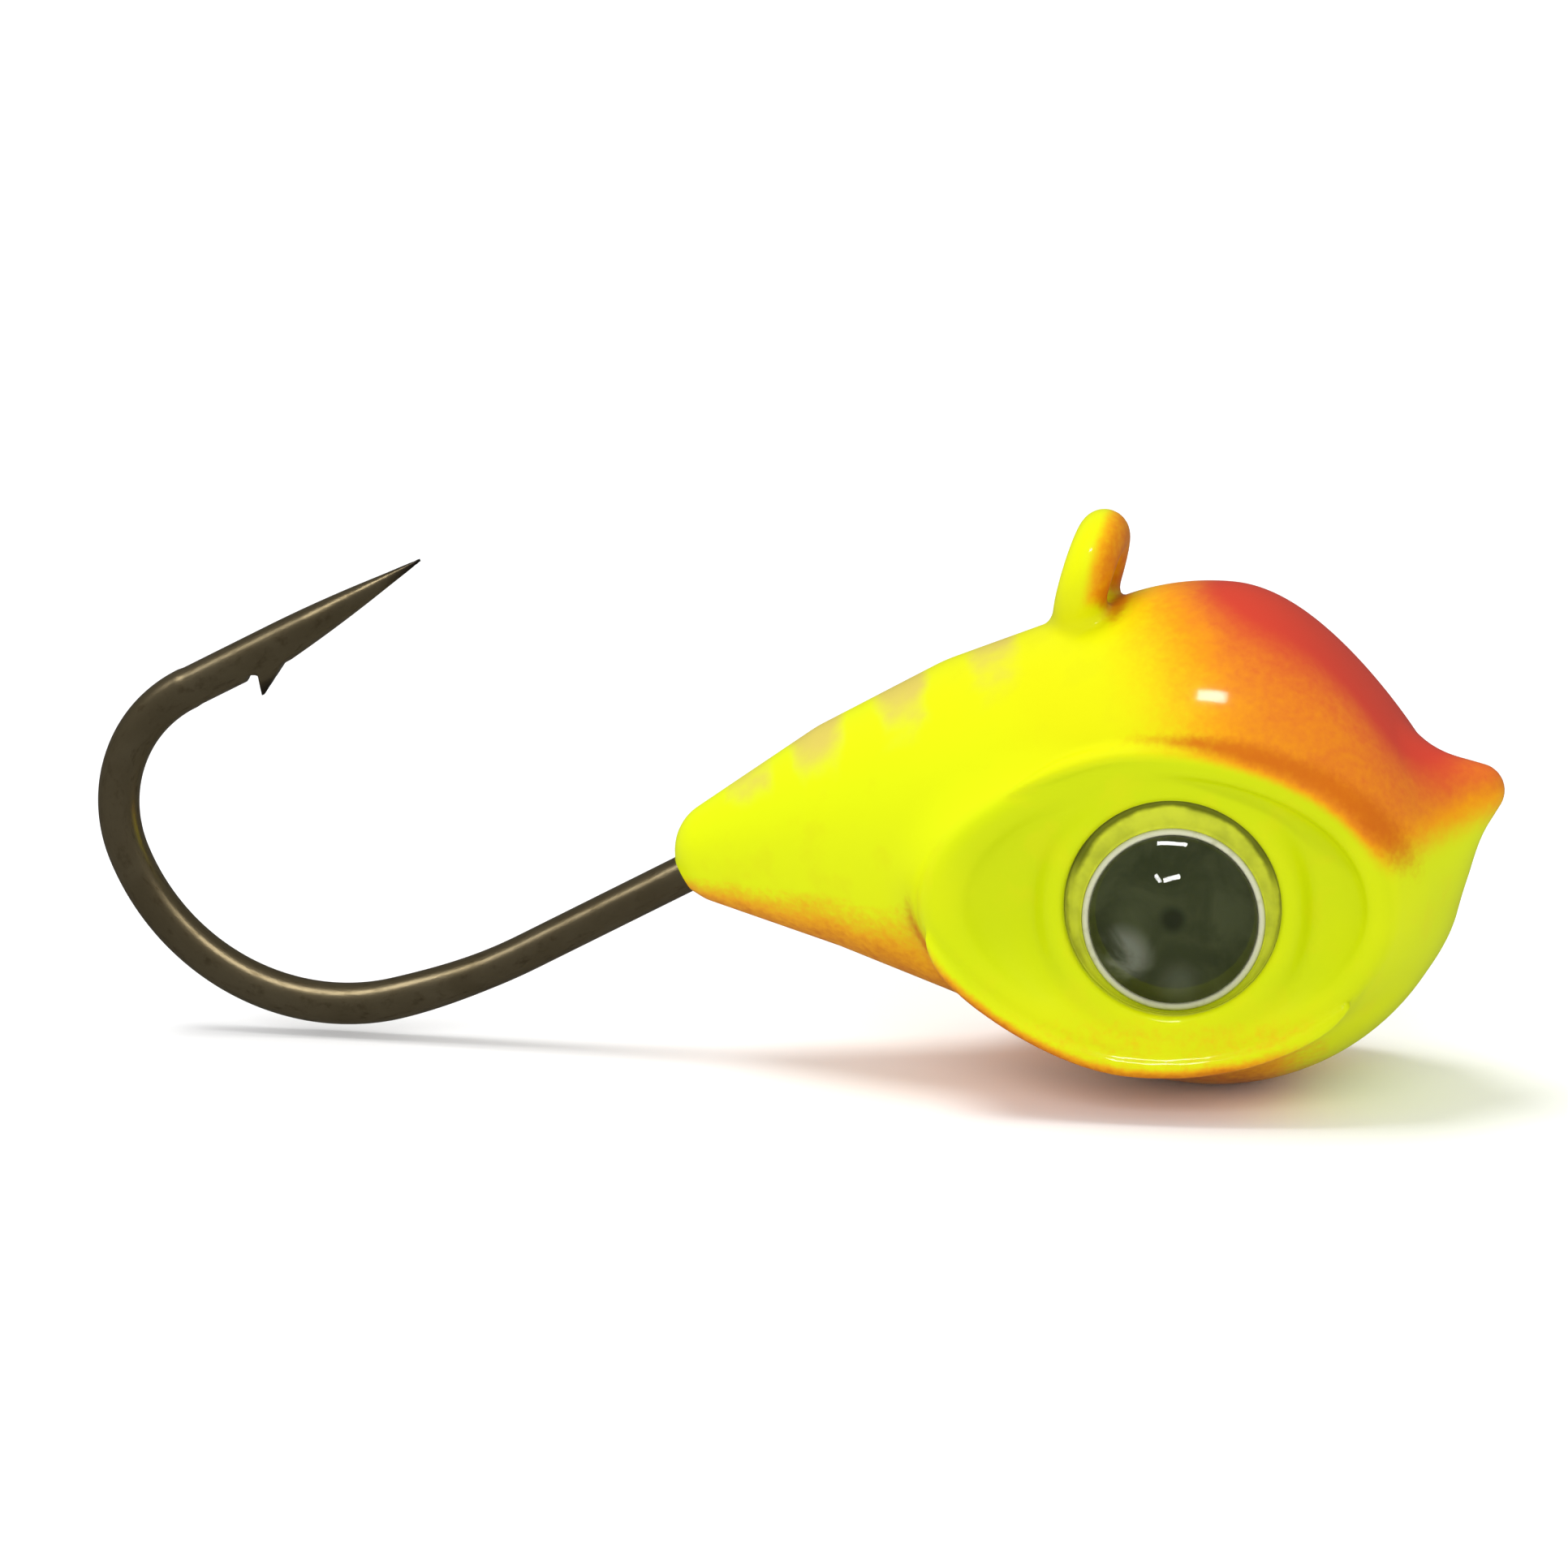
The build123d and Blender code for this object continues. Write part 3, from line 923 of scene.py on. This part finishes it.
def dome_rings():
    """Resin cap: a short wall on the film, then part of a sphere."""
    sphere = (DOME_RADIUS**2 + DOME_RISE**2) / (2 * DOME_RISE)
    sphere_center = DOME_BASE + DOME_WALL + DOME_RISE - sphere
    profile = [
        (0.5 * DOME_RADIUS, DOME_BASE - GAP),
        (DOME_RADIUS - 0.02, DOME_BASE - GAP),
        (DOME_RADIUS, DOME_BASE + 0.01),
        (DOME_RADIUS, DOME_BASE + DOME_WALL - 0.04),
    ]
    for k in range(17):
        radius = max((DOME_RADIUS - 0.012) * (1 - (k / 16) ** 1.4), 0.03)
        profile.append((radius, sphere_center + math.sqrt(sphere**2 - radius * radius)))
    return at_eye(profile)


def film_rings():
    """Flat disc with its edges eased."""
    radius, low, high, soft = FILM_RADIUS, FILM_BASE + GAP, DOME_BASE, 0.01
    return at_eye([
        (radius - soft, low),
        (radius, low + soft),
        (radius, high - soft),
        (radius - soft * 0.3, high - soft * 0.3),
        (radius - soft, high),
        (radius * 0.5, high),
    ])


def backing_rings():
    """Vinyl disc with a thin rolled rim that stands up round the dome."""
    outer, inner, roll = BACKING_RADIUS, DOME_RADIUS + GAP, 0.04
    middle, half = (outer + inner) / 2, (outer - inner) / 2
    shoulder = FILM_BASE + BACKING_LIP - roll
    profile = [(outer - 0.02, BED + GAP), (outer, BED + GAP + 0.02), (outer, shoulder)]
    for k in range(1, 7):
        a = math.pi * k / 6
        profile.append((middle + half * math.cos(a), shoulder + roll * math.sin(a)))
    profile += [(inner, FILM_BASE), (inner * 0.5, FILM_BASE)]
    return at_eye(profile)


def glue_rings():
    """Bed under the eye, and a collar that climbs from the backing to the pocket's wall."""
    outer, inner = POCKET_RADIUS - 0.002, BACKING_RADIUS + GAP
    rings = [(0.0, outer * 0.5, 0.0), (0.0, outer, 0.0)]
    for k in range(9):
        t = k / 8
        height = 0.3 + 0.2 * (1 - t) ** 3 + 0.04 * t**4
        rings.append((EYE_DROP * t, outer + (inner - outer) * t, height))
    return rings + at_eye([(inner, BED), (inner * 0.5, BED)])


resin = resin_material()
vinyl = vinyl_material()
domes = []
for side, name in SIDES.items():
    pieces = {
        "eye_glue": (glue_rings(), glue_material(side), "clear_glue"),
        "eye_backing": (backing_rings(), vinyl, "white_vinyl"),
        "eye_foil": (film_rings(), foil_material(side), "smoke_foil"),
        "eye_dome": (dome_rings(), resin, "clear_resin"),
    }
    for kind, (rings, material, slot) in pieces.items():
        piece = ring_stack(name + "_" + kind + "_looks", side, rings, material)
        if kind == "eye_dome":
            domes.append(piece)
        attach(piece, "root")
        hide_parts(name + "_" + kind)


# ---------------------------------------------------------------- stage, light, camera
SKY, SKY_IN_GLOSS, SKY_BEHIND = 0.66, 0.1, 1.0
FLOOR_HALF = 3000.0
# the point of the head that the area lights face, in metres
AIM = Vector((0.0012, -0.001, -0.0035))


def floor_material():
    m = Nodes("studio_floor")
    cloud = m.step(m.noise(30.0, 2.0, 0.5), 0.3, 0.7)
    m.link(m.mix(cloud, (0.93, 0.93, 0.93, 1), (0.95, 0.95, 0.95, 1)), m.shader.inputs["Base Color"])
    m.shader.inputs["Roughness"].default_value = 0.9
    m.shader.inputs["Specular IOR Level"].default_value = 0.1
    return m.material


floor_z = head_bottom - 0.01
floor = new_object(
    "studio_floor",
    [(x * FLOOR_HALF, y * FLOOR_HALF, floor_z) for x, y in ((-1, -1), (1, -1), (1, 1), (-1, 1))],
    [(0, 1, 2, 3)],
    floor_material(),
)
floor.visible_glossy = False


def soft_white_world():
    """White sky, darker where it is mirrored and pure white straight behind the part."""
    world = bpy.data.worlds.new("soft_white")
    world.use_nodes = True
    nodes, links = world.node_tree.nodes, world.node_tree.links

    def white(background, strength):
        background.inputs["Color"].default_value = (1, 1, 1, 1)
        background.inputs["Strength"].default_value = strength
        return background.outputs["Background"]

    surface = white(nodes["Background"], SKY)
    rays = nodes.new("ShaderNodeLightPath").outputs
    for ray, strength in (("Is Glossy Ray", SKY_IN_GLOSS), ("Is Camera Ray", SKY_BEHIND)):
        mix = nodes.new("ShaderNodeMixShader")
        links.new(rays[ray], mix.inputs[0])
        links.new(surface, mix.inputs[1])
        links.new(white(nodes.new("ShaderNodeBackground"), strength), mix.inputs[2])
        surface = mix.outputs[0]
    links.new(surface, nodes["World Output"].inputs["Surface"])
    return world


bpy.context.scene.world = soft_white_world()


def sun_light(name, toward, angle, energy):
    """Broad light from far away, in the given direction from the part."""
    data = bpy.data.lights.new(name, "SUN")
    data.angle = angle
    data.energy = energy
    lamp = bpy.data.objects.new(name, data)
    lamp.rotation_mode = "QUATERNION"
    lamp.rotation_quaternion = Vector(toward).to_track_quat("Z", "Y")
    lamp.visible_glossy = False
    bpy.context.scene.collection.objects.link(lamp)


def area_light(name, toward, distance, wide, tall, radiance, roll=0.0, mirrored=True, only=None):
    """Rectangular light facing the head from the given direction; a radiance of 1 shows as white."""
    d = Vector(toward).normalized()
    data = bpy.data.lights.new(name, "AREA")
    data.shape = "RECTANGLE"
    data.size, data.size_y = wide, tall
    data.energy = radiance * wide * tall * math.pi
    lamp = bpy.data.objects.new(name, data)
    lamp.location = AIM + d * distance
    lamp.rotation_mode = "QUATERNION"
    lamp.rotation_quaternion = d.to_track_quat("Z", "Y") @ Matrix.Rotation(roll, 3, "Z").to_quaternion()
    bpy.context.scene.collection.objects.link(lamp)
    lamp.visible_glossy = mirrored
    if only is not None:
        group = bpy.data.collections.new(name + "_lit")
        for piece in only:
            group.objects.link(piece)
        lamp.light_linking.receiver_collection = group


sun_light("overhead", (-0.28, 0.05, 0.9), math.radians(27), 1.56)
area_light("front_fill", (0.34, -1.0, 0.22), 0.5, 0.4, 0.3, 0.68, mirrored=False)
area_light("head_spot", (-0.02, -0.545, 0.829), 0.16, 0.028, 0.014, 56.0, only=[head])
area_light("dome_strip", (-0.06, -0.549, 0.829), 0.16, 0.06, 0.008, 30.0, math.radians(4), only=domes)
area_light("dome_strip_low", (-0.02, -0.872, 0.488), 0.16, 0.036, 0.01, 26.0, math.radians(20), only=domes)
area_light("dome_strip_side", (-0.2, -0.86, 0.47), 0.16, 0.02, 0.008, 22.0, math.radians(-50), only=domes)
area_light("floor_fill", (0.0, -1.0, 0.5), 0.5, 0.3, 0.3, 4.0, mirrored=False, only=[floor])
area_light("wire_strip", (-0.1, -0.58, 0.8), 0.12, 0.22, 0.034, 4.4, only=[hook])

# camera: long lens, a little to the nose side and a little above; the target is in the middle of the view
CAMERA_TURN, CAMERA_RISE = math.radians(12), math.radians(12)
CAMERA_TARGET = np.array([-4.087, -1.487, -2.8455])
LENS, SENSOR = 150.0, 36.0
VIEW_WIDTH = 21.9545


def long_lens_camera():
    back = np.array([
        math.sin(CAMERA_TURN) * math.cos(CAMERA_RISE),
        -math.cos(CAMERA_TURN) * math.cos(CAMERA_RISE),
        math.sin(CAMERA_RISE),
    ])
    right = np.array([math.cos(CAMERA_TURN), math.sin(CAMERA_TURN), 0.0])
    data = bpy.data.cameras.new("camera")
    data.lens = LENS
    data.sensor_width = SENSOR
    data.clip_start = 0.005
    data.clip_end = 10.0
    camera = bpy.data.objects.new("camera", data)
    matrix = Matrix(np.column_stack([right, np.cross(back, right), back]).tolist()).to_4x4()
    matrix.translation = Vector((CAMERA_TARGET + back * LENS / SENSOR * VIEW_WIDTH) * MM)
    camera.matrix_world = matrix
    bpy.context.scene.collection.objects.link(camera)
    return camera


bpy.context.scene.camera = long_lens_camera()
bpy.context.scene.view_settings.view_transform = "Standard"
